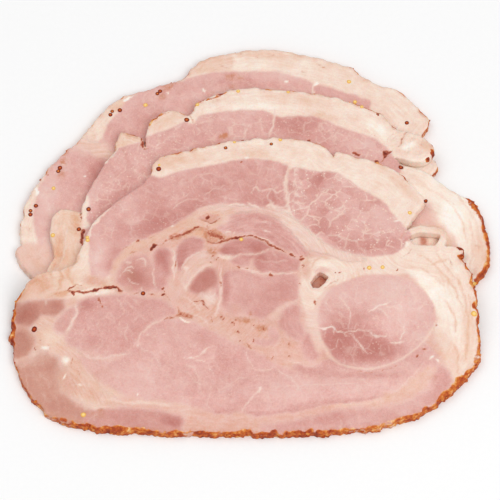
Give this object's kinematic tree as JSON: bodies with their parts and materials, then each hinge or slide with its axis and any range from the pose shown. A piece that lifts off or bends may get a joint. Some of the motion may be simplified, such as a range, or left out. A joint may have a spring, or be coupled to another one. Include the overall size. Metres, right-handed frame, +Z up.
{
  "type": "fanned ham slices",
  "caption": "Cooked ham carved in slices that lie fanned over each other in the order they were cut, each drooping past the one below.",
  "frame": {"origin": "centre of the fan's box, on the surface that the slices lie on", "axes": "+Z up out of the surface, +Y from the front slice towards the back one, +X to the right seen from the front slice's browned edge"},
  "size_m": [0.2088, 0.1916, 0.0126],
  "materials": {
    "ham_slice": "moist cut face of cooked ham: pink muscles, cream fat and a thin browned rind",
    "brown_seed": "dark red-brown seed coat, softly glossy",
    "yellow_seed": "pale amber seed coat, softly glossy",
    "rind_crumb": "crumbly browned rind"
  },
  "bodies": {
    "root": {"slice_back": "ham_slice", "slice_middle": "ham_slice", "slice_front": "ham_slice"}
  },
  "joints": []
}
